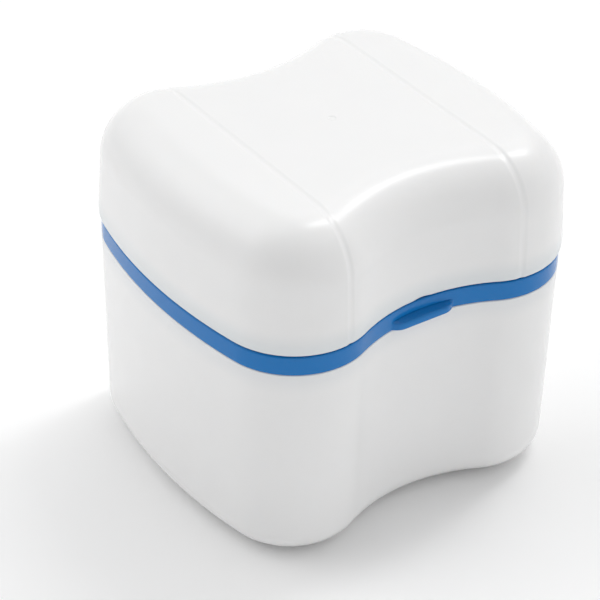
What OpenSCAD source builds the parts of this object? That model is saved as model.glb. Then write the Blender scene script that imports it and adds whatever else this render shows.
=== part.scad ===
// Orthodontic retainer case: a waisted soaking tub, a lift-out strainer basket and a hinged lid.
// Millimetres, +Z up. The origin is on the table, under the middle of the tub.
// The thumb tab is at the front (-Y) and the hinge is at the back (+Y).
// Offsets are measured outwards from the plan outline of the coloured band.

/* [Plan outline] */
// Width of the band across its bulged sides
case_w = 84; // [74:0.5:100]
// Depth of the band across its corner lobes
case_d = 75; // [66:0.5:90]
// Distance that the front and back are drawn in at the middle
waist_depth = 5.3; // [4.5:0.1:7]
// Plan radius of the corner lobes
corner_r = 16.3; // [14:0.1:20]
// Plan radius of the bulged left and right sides
side_r = 116; // [90:1:180]

/* [Tub] */
// Height of the shoulder that the band sits above
tub_h = 47.3; // [40:0.1:62]
// Wall thickness
tub_wall = 2; // [1.6:0.1:2.6]
// Floor thickness
tub_floor = 2.2; // [1.6:0.1:3]
// Inward lean of the outer wall from the shoulder to the table
tub_draft = 0.6; // [0.3:0.1:1.5]
// Radius of the outer bottom edge
tub_edge_r = 6; // [4.5:0.1:7]
// Height of the standing rim under the floor
foot_h = 0.6; // [0.5:0.1:1.5]
// Width of the standing rim
foot_w = 2.6; // [2:0.1:4]
// Thickness of the raised lip that enters the band
lip_t = 1.5; // [1.2:0.1:2]

/* [Basket] */
// Visible height of the band
band_h = 4.2; // [4.2:0.1:7]
// Thickness of the band's outer skirt
skirt_t = 1.5; // [1.2:0.1:2]
// Gap between the shoulder and the band
shoulder_gap = 0.1; // [0.05:0.05:0.3]
// Thickness of the ledge that joins the skirt, the collar and the basket wall
ledge_t = 1.4; // [1:0.1:1.6]
// Height of the collar that stands inside the lid
collar_h = 3; // [2:0.1:4]
// Thickness of the collar
collar_t = 1.5; // [1.2:0.1:2]
// Thickness of the basket wall and floor
basket_wall = 1.6; // [1.2:0.1:2]
// Height of the basket floor above the tub floor
sump_h = 5.4; // [5:0.1:10]
// Inward lean of the basket wall from the rim to the floor
basket_draft = 1.2; // [0.5:0.1:2]
// Inside radius between the basket wall and floor
basket_edge_r = 4; // [3:0.1:6]
// Width of the drain slots
slot_w = 3; // [2:0.1:3.6]
// Distance between drain slots
slot_pitch = 6; // [5.4:0.1:8]
// Length of the drain slots in the floor
floor_slot_l = 13; // [8:0.5:16]

/* [Thumb tab] */
// Width of the tab
tab_w = 17.2; // [12:0.1:20]
// Distance that the tab reaches out from the waist
tab_reach = 1.9; // [1.2:0.1:3]
// Height of the tab from its lower edge to the top of its scoop
tab_h = 2.7; // [2:0.1:3.2]
// Height of the tab's upright lip
tab_lip = 1.6; // [0.8:0.1:1.8]
// Plan radius of the tab's ends
tab_end_r = 3.8; // [3:0.1:5]

/* [Lid] */
// Height of the lid
lid_h = 25.3; // [20:0.1:36]
// Wall thickness
lid_wall = 2; // [1.6:0.1:2.4]
// Radius of the top edge
lid_edge_r = 11.5; // [6:0.1:13]
// Distance that the lower edge stands out past the band
lid_overhang = 0.6; // [0.3:0.05:1]
// Inward lean of the lid wall up to its top edge
lid_draft = 0.8; // [0.3:0.05:1.2]
// Seam between the band and the lid
seam = 0.4; // [0.4:0.05:0.8]
// Distance of the two moulded grooves from the middle
groove_x = 21; // [18:0.1:22]
// Width of the grooves
groove_w = 2; // [1:0.1:2.4]
// Depth of the grooves
groove_depth = 0.15; // [0.1:0.05:0.6]
// Width of the fingernail nick at the front
nick_w = 5; // [2:0.1:6]
// Height of the fingernail nick
nick_h = 0.3; // [0.2:0.05:1]
// Diameter of the moulding gate mark on top
gate_d = 1.3; // [0.8:0.1:2]

/* [Seals] */
// Height of the ring between the tub lip and the basket ledge
tub_seal_h = 0.8; // [0.6:0.1:1.2]
// Height of the ring between the collar and the lid
lid_seal_h = 1.4; // [1:0.1:2]

/* [Hinge] */
// Diameter of the knuckles
knuckle_d = 4.4; // [3.8:0.1:4.6]
// Diameter of the pin
pin_d = 1.8; // [1.5:0.1:2.2]
// Width of the lid's middle knuckle
lid_knuckle_w = 8; // [6:0.1:9]
// Width of each of the basket's two knuckles
side_knuckle_w = 4.6; // [3.5:0.1:5]
// Height of the leaf on the back of the lid
leaf_h = 6.5; // [5:0.1:9]

/* [Fits] */
// Gap between the tub lip and the band or the basket wall
slide_gap = 0.3; // [0.25:0.05:0.5]
// Gap between the collar and the lid wall
collar_gap = 0.6; // [0.55:0.05:0.9]
// Radial gap of the pin in the basket's knuckles
pin_hold_gap = 0.02; // [0.01:0.01:0.04]
// Radial gap of the pin in the lid's knuckle
pin_run_gap = 0.08; // [0.05:0.01:0.1]
// Gap between neighbouring knuckles
knuckle_gap = 0.35; // [0.3:0.05:0.6]

/* [Hidden] */
$fn = 64;
eps = 0.05;

// Outline: tangent arcs for the corner lobes, the bulged sides and the waisted front and back
corner_y = case_d / 2 - corner_r;
side_x = case_w / 2 - side_r;
corner_x = side_x + sqrt(pow(side_r - corner_r, 2) - pow(corner_y, 2));
waist_r = (pow(corner_x, 2) + pow(corner_r - waist_depth, 2) - pow(corner_r, 2)) / (2 * waist_depth);
waist_y = case_d / 2 - waist_depth + waist_r;
side_a = atan2(corner_y, corner_x - side_x);
waist_a = atan2(corner_x, waist_y - corner_y);
side_n = 3;
corner_n = 11;
waist_n = 12;

// Heights
floor_z = foot_h + tub_floor;
band_z = tub_h + shoulder_gap;
band_top = band_z + band_h;
ledge_z = band_top - ledge_t;
lip_z = ledge_z - tub_seal_h;
collar_z = band_top + collar_h;
lid_z = band_top + seam;
lid_top = lid_z + lid_h;
dome_z = lid_top - lid_edge_r;
lid_rest_z = collar_z + lid_seal_h;
basket_z = floor_z + sump_h;
// The tub's inner wall slopes in to its lip between these heights
slope_z = tub_h - 4;
slope_top = tub_h - 1.5;

// Offsets of the walls from the outline
lip_out = -skirt_t - slide_gap;
lip_in = lip_out - lip_t;
basket_out = lip_in - slide_gap;
basket_in = basket_out - basket_wall;
collar_out = lid_overhang - lid_wall - collar_gap;
collar_in = collar_out - collar_t;
function tub_out(z) = -tub_draft * (1 - z / tub_h);
function basket_lean(z) = basket_draft * (ledge_z - z) / (ledge_z - basket_z);
function lid_out(z) = lid_overhang - lid_draft * (z - lid_z) / (dome_z - lid_z);

// Hinge axis: low on the band and as far back as the lid's lobes allow
hinge_y = case_d / 2 + lid_overhang - knuckle_d / 2;
hinge_z = tub_h + 1;
back_waist_y = case_d / 2 - waist_depth;

// Outline points at one offset, counter-clockwise from the right-hand middle
function side_point(a, o) = [side_x + (side_r + o) * cos(a), (side_r + o) * sin(a)];
function corner_point(a, o) = [corner_x + (corner_r + o) * cos(a), corner_y + (corner_r + o) * sin(a)];
function back_y(x, o) =
    abs(x) < corner_x - (corner_r + o) * sin(waist_a)
        ? waist_y - sqrt(pow(waist_r - o, 2) - x * x)
        : corner_y + sqrt(pow(corner_r + o, 2) - pow(abs(x) - corner_x, 2));
inner_x = groove_x - groove_w / 2;
outer_x = groove_x + groove_w / 2;
columns = concat(
    [outer_x, groove_x],
    [for (i = [0 : waist_n]) inner_x * (1 - 2 * i / waist_n)],
    [-groove_x, -outer_x]
);
// A corner arc ends at the crest of its lobe, or beside a groove that lies past the crest
column_gap = 0.2;
function corner_end(o) = acos(max(0, outer_x + column_gap - corner_x) / (corner_r + o));
function quarter(o) = concat(
    [for (i = [0 : side_n]) side_point(side_a * i / side_n, o)],
    [for (i = [1 : corner_n]) corner_point(side_a + (corner_end(o) - side_a) * i / corner_n, o)]
);
function half(o) =
    let (q = quarter(o), last = len(q) - 1)
    concat(q, [for (x = columns) [x, back_y(x, o)]], [for (i = [last : -1 : 0]) [-q[i][0], q[i][1]]]);
function outline(o) =
    let (h = half(o))
    concat(h, [for (i = [len(h) - 2 : -1 : 1]) [h[i][0], -h[i][1]]]);
half_n = len(half(0));
ring_n = len(outline(0));

// A groove column is pressed in along the profile's normal, so both grooves run straight over the lid
function in_groove(p) = abs(abs(p[0]) - groove_x) < 0.01;
function ring(s) = [
    for (p = outline(s[0]))
        in_groove(p) && len(s) > 2
            ? [p[0], sign(p[1]) * (abs(p[1]) + s[2]), s[1] + s[3]]
            : [p[0], p[1], s[1]]
];

// Profile arcs, in [offset, height] pairs
function arc(o, z, r, a0, a1, n) = [
    for (i = [0 : n]) let (a = a0 + (a1 - a0) * i / n) [o + r * cos(a), z + r * sin(a)]
];
// The same with the groove's inward shift added to each point
function grooved_arc(o, z, r, a0, a1, n) = [
    for (i = [0 : n])
        let (a = a0 + (a1 - a0) * i / n)
        [o + r * cos(a), z + r * sin(a), -groove_depth * cos(a), -groove_depth * sin(a)]
];

// Side faces between neighbouring rings of a loft
function band_faces(a, b) = [
    for (i = [0 : ring_n - 1])
        let (k = (i + 1) % ring_n)
        [a * ring_n + i, a * ring_n + k, b * ring_n + k, b * ring_n + i]
];
// A flat end, laid in strips from front to back so that the waist stays open
function cap_faces(a, up) = [
    for (i = [0 : half_n - 2])
        let (
            j = (ring_n - i) % ring_n,
            k = ring_n - i - 1,
            f = i == 0 ? [0, k, 1] : i == half_n - 2 ? [i, j, i + 1] : [i, j, k, i + 1],
            g = [for (v = f) a * ring_n + v]
        )
        up ? g : [for (v = [len(g) - 1 : -1 : 0]) g[v]]
];

// Shell with two flat ends: the profile starts on the upward-facing end
module shell(profile) {
    last = len(profile) - 1;
    polyhedron(
        points = [for (s = profile) each ring(s)],
        faces = concat(
            cap_faces(0, true),
            [for (j = [0 : last - 1]) each band_faces(j, j + 1)],
            cap_faces(last, false)
        )
    );
}

// Closed ring: the profile runs up its inner side and down its outer side
module hoop(profile) {
    n = len(profile);
    polyhedron(
        points = [for (s = profile) each ring(s)],
        faces = [for (j = [0 : n - 1]) each band_faces(j, (j + 1) % n)]
    );
}

// Round-ended slot in plan, along Y
module slot_2d(width, length) {
    straight = length - width;
    square([width, straight], center = true);
    for (s = [-1, 1])
        translate([0, s * straight / 2]) circle(d = width);
}

// Bar with its length along X, from a profile given as [y, z] points
module bar_x(x, width, points) {
    translate([x - width / 2, 0, 0])
        rotate([90, 0, 90])
            linear_extrude(height = width) polygon(points);
}

// Cylinder along X on the hinge axis
module hinge_rod(x, width, diameter) {
    translate([x - width / 2, hinge_y, hinge_z])
        rotate([0, 90, 0]) cylinder(d = diameter, h = width);
}

module base_tub() {
    inner_r = tub_edge_r - tub_floor / 2;
    arc_z = floor_z + inner_r;
    arc_o = tub_out(arc_z) - tub_wall - inner_r;
    edge_z = foot_h + tub_edge_r;
    edge_o = tub_out(edge_z) - tub_edge_r;
    rim_edge = 0.3;
    color("white") {
        shell(concat(
            arc(arc_o, arc_z, inner_r, 270, 360, 5),
            [
                [tub_out(slope_z) - tub_wall, slope_z],
                [lip_in, slope_top],
                [lip_in, lip_z],
                [lip_out, lip_z],
                [lip_out, tub_h],
                [-rim_edge, tub_h],
                [0, tub_h - rim_edge]
            ],
            arc(edge_o, edge_z, tub_edge_r, 0, -90, 6)
        ));
        linear_extrude(height = foot_h + tub_floor / 2) difference() {
            polygon(outline(edge_o));
            polygon(outline(edge_o - foot_w));
        }
    }
}

module tub_seal() {
    color("gainsboro") hoop([
        [lip_in + eps, lip_z],
        [lip_in + eps, ledge_z],
        [lip_out - eps, ledge_z],
        [lip_out - eps, lip_z]
    ]);
}

module basket_body() {
    out_r = basket_edge_r + basket_wall;
    arc_z = basket_z + out_r;
    arc_o = basket_out - basket_lean(arc_z) - out_r;
    top_edge = 0.4;
    shell(concat(
        arc(arc_o, arc_z, basket_edge_r, 270, 360, 4),
        [
            [basket_in, ledge_z - 1],
            [collar_in, band_top],
            [collar_in, collar_z],
            [collar_out, collar_z],
            [collar_out, band_top],
            [-top_edge, band_top],
            [0, band_top - top_edge],
            [0, band_z],
            [-skirt_t, band_z],
            [-skirt_t, ledge_z],
            [basket_out, ledge_z]
        ],
        arc(arc_o, arc_z, out_r, 0, -90, 4)
    ));
}

module drain_slots() {
    low = basket_z + 2 * basket_edge_r;
    tall = slope_z - low;
    mid = (slope_z + low) / 2;
    n_front = floor((corner_x - slot_w) / slot_pitch);
    n_side = floor((corner_y - slot_w) / slot_pitch);
    n_floor = floor((corner_x + 1) / slot_pitch);
    // Front and back walls
    for (i = [-n_front : n_front])
        translate([i * slot_pitch, case_d / 2, mid])
            rotate([90, 0, 0]) linear_extrude(height = case_d) slot_2d(slot_w, tall);
    // Left and right walls
    for (i = [-n_side : n_side])
        translate([-case_w / 2, i * slot_pitch, mid])
            rotate([90, 0, 90]) linear_extrude(height = case_w) slot_2d(slot_w, tall);
    // Floor
    for (i = [-n_floor : n_floor], s = [-1, 1])
        translate([i * slot_pitch, s * (floor_slot_l + slot_w) / 2, basket_z - 1])
            linear_extrude(height = basket_wall + 2) slot_2d(slot_w, floor_slot_l);
}

// Round-ended block rooted in the band, with a scoop above its upright lip
module thumb_tab() {
    root = 0.3;
    scoop_over = 0.3;
    front = -back_waist_y - tab_reach;
    scoop_r = tab_reach + scoop_over;
    difference() {
        translate([0, front, band_z]) linear_extrude(height = tab_h) intersection() {
            translate([0, tab_end_r]) rotate(90) slot_2d(2 * tab_end_r, tab_w);
            translate([-tab_w / 2, 0]) square([tab_w, tab_reach + root]);
        }
        translate([-tab_w, front, band_z + tab_lip + scoop_r])
            rotate([0, 90, 0]) cylinder(r = scoop_r, h = 2 * tab_w);
    }
}

module basket_knuckle(x) {
    root_y = back_waist_y - 0.1;
    bar_x(x, side_knuckle_w, [
        [root_y, band_z],
        [hinge_y, band_z],
        [hinge_y, hinge_z + knuckle_d / 2],
        [root_y, hinge_z + knuckle_d / 2]
    ]);
    hinge_rod(x, side_knuckle_w, knuckle_d);
}

module strainer_basket() {
    knuckle_x = (lid_knuckle_w + side_knuckle_w) / 2 + knuckle_gap;
    color("royalblue") difference() {
        union() {
            difference() {
                basket_body();
                drain_slots();
            }
            thumb_tab();
            for (s = [-1, 1])
                basket_knuckle(s * knuckle_x);
        }
        for (s = [-1, 1])
            hinge_rod(s * knuckle_x, side_knuckle_w + 2 * knuckle_gap, pin_d + 2 * pin_hold_gap);
    }
}

module hinge_pin() {
    length = lid_knuckle_w + 2 * (side_knuckle_w + knuckle_gap) - 0.4;
    r = pin_d / 2;
    edge = 0.2;
    color("silver")
        translate([-length / 2, hinge_y, hinge_z])
            rotate([0, 90, 0]) rotate_extrude() polygon([
                [0, 0],
                [r - edge, 0],
                [r, edge],
                [r, length - edge],
                [r - edge, length],
                [0, length]
            ]);
}

module lid_seal() {
    color("gainsboro") hoop([
        [collar_in - eps, collar_z],
        [collar_in - eps, lid_rest_z],
        [collar_out + eps, lid_rest_z],
        [collar_out + eps, collar_z]
    ]);
}

module lid_body() {
    o = lid_out(dome_z) - lid_edge_r;
    inner_r = lid_edge_r - lid_wall;
    low_edge = 0.5;
    lead_in = 0.5;
    rest_h = 1.2;
    brace_h = 3;
    shell(concat(
        grooved_arc(o, dome_z, lid_edge_r, 90, 0, 8),
        [
            [lid_out(lid_z + low_edge), lid_z + low_edge, -groove_depth, 0],
            [lid_overhang - low_edge, lid_z, -groove_depth, 0],
            [lid_overhang - lid_wall + lead_in, lid_z],
            [lid_out(lid_z + lead_in) - lid_wall, lid_z + lead_in],
            [lid_out(lid_rest_z) - lid_wall, lid_rest_z],
            [collar_in, lid_rest_z],
            [collar_in, lid_rest_z + rest_h],
            [lid_out(lid_rest_z + brace_h) - lid_wall, lid_rest_z + brace_h]
        ],
        arc(o, dome_z, inner_r, 0, 90, 6)
    ));
}

module lid_leaf() {
    wall_y = back_waist_y + lid_overhang - lid_wall / 2;
    r = knuckle_d / 2;
    head_t = 0.6;
    slant = 0.4;
    // The outer side is one curve from the back of the knuckle up to the lid wall
    foot = [hinge_y + r, hinge_z];
    bend = [hinge_y + r, lid_z + leaf_h / 2];
    head = [wall_y + head_t, lid_z + leaf_h];
    steps = 8;
    curve = [
        for (i = [0 : steps])
            let (t = i / steps)
            pow(1 - t, 2) * foot + 2 * t * (1 - t) * bend + t * t * head
    ];
    bar_x(0, lid_knuckle_w, concat(
        [
            [wall_y, lid_z + leaf_h],
            [wall_y, lid_z + slant],
            [hinge_y - r, lid_z - slant],
            [hinge_y - r, hinge_z]
        ],
        curve
    ));
    hinge_rod(0, lid_knuckle_w, knuckle_d);
}

module lid_shell() {
    nick_r = (pow(nick_w / 2, 2) + pow(nick_h, 2)) / (2 * nick_h);
    gate_depth = 0.2;
    color("white") difference() {
        union() {
            lid_body();
            lid_leaf();
        }
        hinge_rod(0, lid_knuckle_w + 1, pin_d + 2 * pin_run_gap);
        translate([0, -back_waist_y + lid_wall + 1, lid_z + nick_h - nick_r])
            rotate([90, 0, 0]) cylinder(r = nick_r, h = 2 * lid_wall + 2);
        translate([0, 0, lid_top - gate_depth]) cylinder(d = gate_d, h = 1);
    }
}

base_tub();
tub_seal();
strainer_basket();
hinge_pin();
lid_seal();
lid_shell();
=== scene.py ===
"""Looks of an orthodontic retainer case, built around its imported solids.

The white tub, the blue strainer basket and the white lid are smooth lofts through offsets of one
waisted plan outline, with the same sizes as the solids. Lengths are millimetres unless a line says metres.
"""

import logging
import math
from collections.abc import Iterator, Sequence
from contextlib import contextmanager
from dataclasses import dataclass, field
from enum import Enum

import bmesh
import bpy
import numpy as np
from mathutils import Matrix, Vector


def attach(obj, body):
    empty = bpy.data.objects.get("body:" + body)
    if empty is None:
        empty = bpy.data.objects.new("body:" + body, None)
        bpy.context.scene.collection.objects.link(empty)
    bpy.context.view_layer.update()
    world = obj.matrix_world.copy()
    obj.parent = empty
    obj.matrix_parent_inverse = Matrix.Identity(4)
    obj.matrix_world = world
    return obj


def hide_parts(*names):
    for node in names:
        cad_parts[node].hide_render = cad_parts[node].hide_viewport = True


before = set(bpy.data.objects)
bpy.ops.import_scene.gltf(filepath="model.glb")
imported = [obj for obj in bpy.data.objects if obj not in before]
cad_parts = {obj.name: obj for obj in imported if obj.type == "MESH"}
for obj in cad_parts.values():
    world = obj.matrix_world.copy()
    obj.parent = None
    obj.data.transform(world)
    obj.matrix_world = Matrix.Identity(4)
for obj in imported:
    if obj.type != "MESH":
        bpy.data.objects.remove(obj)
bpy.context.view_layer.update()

log = logging.getLogger("retainer_case")
MM = 0.001  # one millimetre, in metres
SHARP = 40.0  # an edge that turns by more than this stays hard, in degrees
NO_LENGTH = 0.0001 * MM  # an edge shorter than this is dropped after a cut, in metres

Point = tuple[float, float]
Triple = tuple[float, float, float]
Inputs = dict[int | str, object]


class Body(Enum):
    """The CAD bodies that the pieces ride on."""

    TUB = "tub"
    BASKET = "basket"
    LID = "lid"


class Slot(Enum):
    """The record's material slots."""

    WHITE = "white_plastic"
    BLUE = "blue_plastic"
    SILICONE = "silicone"
    STEEL = "pin_steel"


class Value:
    """A shader socket that takes part in Python expressions."""

    def __init__(self, graph: "Graph", socket: bpy.types.NodeSocket | None) -> None:
        """Wraps one output socket of a graph."""
        self.graph = graph
        self.socket = socket

    def _math(self, operation: str, a: "Value | float", b: "Value | float") -> "Value":
        """Result of one Math node."""
        return self.graph.node("ShaderNodeMath", {"operation": operation}, {0: a, 1: b})

    def __add__(self, other: "Value | float") -> "Value":
        """Sum."""
        return self._math("ADD", self, other)

    def __radd__(self, other: float) -> "Value":
        """Sum with a number on the left."""
        return self._math("ADD", other, self)

    def __mul__(self, other: "Value | float") -> "Value":
        """Product."""
        return self._math("MULTIPLY", self, other)

    def __rmul__(self, other: float) -> "Value":
        """Product with a number on the left."""
        return self._math("MULTIPLY", other, self)


class Graph:
    """Node tree of one material or world."""

    def __init__(self, owner: bpy.types.Material | bpy.types.World) -> None:
        """Empties the owner's tree.

        Args:
            owner: The material or world.
        """
        owner.use_nodes = True
        self.tree = owner.node_tree
        self.tree.nodes.clear()

    def node(
        self,
        kind: str,
        settings: dict[str, object] | None = None,
        inputs: Inputs | None = None,
        output: int | str = 0,
    ) -> Value:
        """Adds one node of any type.

        Args:
            kind: The node's type name.
            settings: The node's own settings, which are set first.
            inputs: Values or links of its sockets, by index or name.
            output: The output socket to return.

        Returns:
            That output, ready for expressions, or an empty value for a node that ends a tree.
        """
        made = self.tree.nodes.new(kind)
        for key, value in (settings or {}).items():
            setattr(made, key, value)
        for key, value in (inputs or {}).items():
            if isinstance(value, Value):
                self.tree.links.new(value.socket, made.inputs[key])
            else:
                made.inputs[key].default_value = value
        return Value(self, made.outputs[output] if made.outputs else None)

    def place(self) -> Value:
        """Position on the piece at rest, in metres."""
        return self.node("ShaderNodeTexCoord", output="Object")

    def noise(self, scale: float, detail: float, roughness: float) -> Value:
        """Smooth noise of about 0 to 1, with a scale in features per metre."""
        inputs = {"Vector": self.place(), "Scale": scale, "Detail": detail, "Roughness": roughness}
        return self.node("ShaderNodeTexNoise", inputs=inputs)

    def tint(self, level: Value, low: Triple, high: Triple) -> Value:
        """Colour between a low colour at level 0 and a high colour at level 1."""
        inputs = {0: level, 6: (*low, 1.0), 7: (*high, 1.0)}
        return self.node("ShaderNodeMix", {"data_type": "RGBA"}, inputs, output=2)

    def bump(self, height: Value, strength: float, distance: float) -> Value:
        """Normal from a height level, where the distance is the height of level 1 in metres."""
        inputs = {"Height": height, "Strength": strength, "Distance": distance}
        return self.node("ShaderNodeBump", inputs=inputs)

    def surface(self, inputs: Inputs) -> None:
        """Ends a material's tree in a Principled surface."""
        shader = self.node("ShaderNodeBsdfPrincipled", inputs=inputs, output="BSDF")
        self.node("ShaderNodeOutputMaterial", inputs={"Surface": shader})


@dataclass(frozen=True)
class Finish:
    """Base of the finishes.

    Attributes:
        name: Material name.
    """

    name: str

    def material(self) -> bpy.types.Material:
        """Builds the material on its first use.

        Returns:
            The material.
        """
        found = bpy.data.materials.get(self.name)
        if found is None:
            found = bpy.data.materials.new(self.name)
            self.shade(Graph(found))
        return found

    def shade(self, g: Graph) -> None:
        """Fills a material's tree."""
        raise NotImplementedError


@dataclass(frozen=True)
class MouldedPlastic(Finish):
    """Smooth moulded plastic with a soft skin texture and faint flow marks.

    Attributes:
        low: Colour in the thin places.
        high: Colour in the full places.
        gloss: Middle roughness.
        spread: How much the roughness wanders.
        grain: Height of the skin texture, in metres.
        depth: Share of light that scatters under the skin.
        shine: Level of the clear reflection.
    """

    low: Triple
    high: Triple
    gloss: float
    spread: float
    grain: float = 0.000012
    depth: float = 0.0
    shine: float = 0.5

    def colour(self, g: Graph, shade: Value) -> Value:
        """Colour of the plastic at a level of its flow marks."""
        return g.tint(shade, self.low, self.high)

    def shade(self, g: Graph) -> None:
        """Fills the material's tree.

        Args:
            g: The material's graph.
        """
        flow = g.noise(scale=38.0, detail=3.0, roughness=0.55)
        skin = g.noise(scale=2600.0, detail=2.0, roughness=0.6)
        handled = g.noise(scale=120.0, detail=4.0, roughness=0.6)
        ripple = skin * 0.35 + flow * 0.65
        g.surface({
            "Base Color": self.colour(g, flow * 0.7 + handled * 0.3),
            "Roughness": self.gloss - self.spread / 2 + handled * self.spread,
            "IOR": 1.49,
            "Specular IOR Level": self.shine,
            "Subsurface Weight": self.depth,
            "Subsurface Radius": (0.0012, 0.0011, 0.0010),
            "Normal": g.bump(ripple, strength=0.35, distance=self.grain),
        })


@dataclass(frozen=True)
class ShadedThinShell(MouldedPlastic):
    """Milky white plastic with painted shade beside the band: darker for the seam's shade, bluer for the
    rim behind.

    Attributes:
        veil_and_shade: Painted shade: share of each colour left at the shell's edge.
        edge_z: Height of that edge, in metres.
        reach: How far from the edge the painted shade reaches, in metres, and negative downwards.
    """

    low: Triple = (0.83, 0.83, 0.83)
    high: Triple = (0.87, 0.87, 0.87)
    gloss: float = 0.25
    spread: float = 0.06
    depth: float = 0.1
    veil_and_shade: Triple = (1.0, 1.0, 1.0)
    edge_z: float = 0.0
    reach: float = 1.0

    def colour(self, g: Graph, shade: Value) -> Value:
        """Colour of the plastic, with painted shade that makes it darker and bluer beside the band.

        Args:
            g: The material's graph.
            shade: Level of the flow marks.

        Returns:
            The colour.
        """
        height = g.node("ShaderNodeSeparateXYZ", inputs={0: g.place()}, output="Z")
        span = {"Value": height, "From Min": self.edge_z + self.reach, "From Max": self.edge_z}
        # painted shade: near the band the colour is pulled down to a darker, bluer colour for the seam's
        # shade
        near = g.node("ShaderNodeMapRange", {"interpolation_type": "SMOOTHSTEP"}, span)
        mix = {"data_type": "RGBA", "blend_type": "MULTIPLY"}
        plain = super().colour(g, shade)
        return g.node("ShaderNodeMix", mix, {0: near, 6: plain, 7: (*self.veil_and_shade, 1.0)}, output=2)


@dataclass(frozen=True)
class SoftSilicone(Finish):
    """Milky silicone with a fine matt skin.

    Attributes:
        low: Colour in the clearer places.
        high: Colour in the cloudier places.
    """

    name: str = "milky_silicone"
    low: Triple = (0.60, 0.63, 0.65)
    high: Triple = (0.74, 0.76, 0.77)

    def shade(self, g: Graph) -> None:
        """Fills the material's tree.

        Args:
            g: The material's graph.
        """
        cloud = g.noise(scale=90.0, detail=3.0, roughness=0.6)
        dust = g.noise(scale=1500.0, detail=3.0, roughness=0.7)
        g.surface({
            "Base Color": g.tint(cloud, self.low, self.high),
            "Roughness": 0.5 + dust * 0.18,
            "IOR": 1.41,
            "Subsurface Weight": 0.25,
            "Subsurface Radius": (0.002, 0.002, 0.002),
            "Normal": g.bump(dust, strength=0.3, distance=0.00002),
        })


@dataclass(frozen=True)
class DrawnSteel(Finish):
    """Drawn stainless wire with fine marks along its length.

    Attributes:
        low: Colour in the marks.
        high: Colour between them.
        marks: Marks per metre along X, Y and Z.
    """

    name: str = "drawn_steel"
    low: Triple = (0.46, 0.46, 0.47)
    high: Triple = (0.64, 0.64, 0.65)
    marks: Triple = (60.0, 2400.0, 2400.0)

    def shade(self, g: Graph) -> None:
        """Fills the material's tree.

        Args:
            g: The material's graph.
        """
        place = {0: g.place(), 1: self.marks}
        drawn = g.node("ShaderNodeVectorMath", {"operation": "MULTIPLY"}, place)
        wear = g.node("ShaderNodeTexNoise", inputs={"Vector": drawn, "Scale": 1.0, "Detail": 4.0})
        g.surface({
            "Base Color": g.tint(wear, self.low, self.high),
            "Metallic": 1.0,
            "Roughness": 0.2 + wear * 0.22,
            "Normal": g.bump(wear, strength=0.2, distance=0.00001),
        })


@dataclass(frozen=True)
class PaleFloor(Finish):
    """Plain white studio floor.

    Attributes:
        colour: Colour of the floor.
    """

    name: str = "pale_floor"
    colour: Triple = (0.97, 0.97, 0.97)

    def shade(self, g: Graph) -> None:
        """Fills the material's tree."""
        g.surface({"Base Color": (*self.colour, 1.0), "Roughness": 0.9, "Specular IOR Level": 0.1})


@dataclass(frozen=True)
class Outline:
    """Plan outline of the coloured band: corner lobes, bulged sides and a waisted front and back.

    Attributes:
        width: Width across the bulged sides.
        depth: Depth across the corner lobes.
        waist: How far the front and back are drawn in.
        corner_r: Radius of the lobes.
        side_r: Radius of the sides.
    """

    width: float = 84.0
    depth: float = 75.0
    waist: float = 5.3
    corner_r: float = 16.3
    side_r: float = 116.0

    @property
    def corner_y(self) -> float:
        """Depth of a lobe's centre."""
        return self.depth / 2 - self.corner_r

    @property
    def side_x(self) -> float:
        """Centre of the right side's arc."""
        return self.width / 2 - self.side_r

    @property
    def corner_x(self) -> float:
        """Width of a lobe's centre."""
        return self.side_x + math.sqrt((self.side_r - self.corner_r) ** 2 - self.corner_y**2)

    @property
    def back_y(self) -> float:
        """Depth of the outline at the middle of a waist."""
        return self.depth / 2 - self.waist

    @property
    def waist_r(self) -> float:
        """Radius of the waists."""
        near = self.corner_r - self.waist
        return (self.corner_x**2 + near**2 - self.corner_r**2) / (2 * self.waist)

    @property
    def waist_y(self) -> float:
        """Depth of the waist arc's centre."""
        return self.back_y + self.waist_r

    @property
    def side_a(self) -> float:
        """Half angle of a side's arc."""
        return math.atan2(self.corner_y, self.corner_x - self.side_x)

    @property
    def waist_a(self) -> float:
        """Half angle of a waist's arc."""
        return math.atan2(self.corner_x, self.waist_y - self.corner_y)

    def columns_y(self, x: np.ndarray, off: np.ndarray) -> np.ndarray:
        """Depth of the offset outline between the lobes' centres.

        Args:
            x: Widths of the points.
            off: Distance outwards from the outline at each point.

        Returns:
            The depth of each point.
        """
        join_x = self.corner_x - (self.corner_r + off) * math.sin(self.waist_a)
        waist = np.sqrt(np.maximum((self.waist_r - off) ** 2 - x**2, 0.0))
        lobe = np.sqrt(np.maximum((self.corner_r + off) ** 2 - (np.abs(x) - self.corner_x) ** 2, 0.0))
        return np.where(np.abs(x) < join_x, self.waist_y - waist, self.corner_y + lobe)


class Part(Enum):
    """The arc of the outline that a plan point lies on."""

    SIDE = 0
    CORNER = 1
    COLUMN = 2


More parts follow.
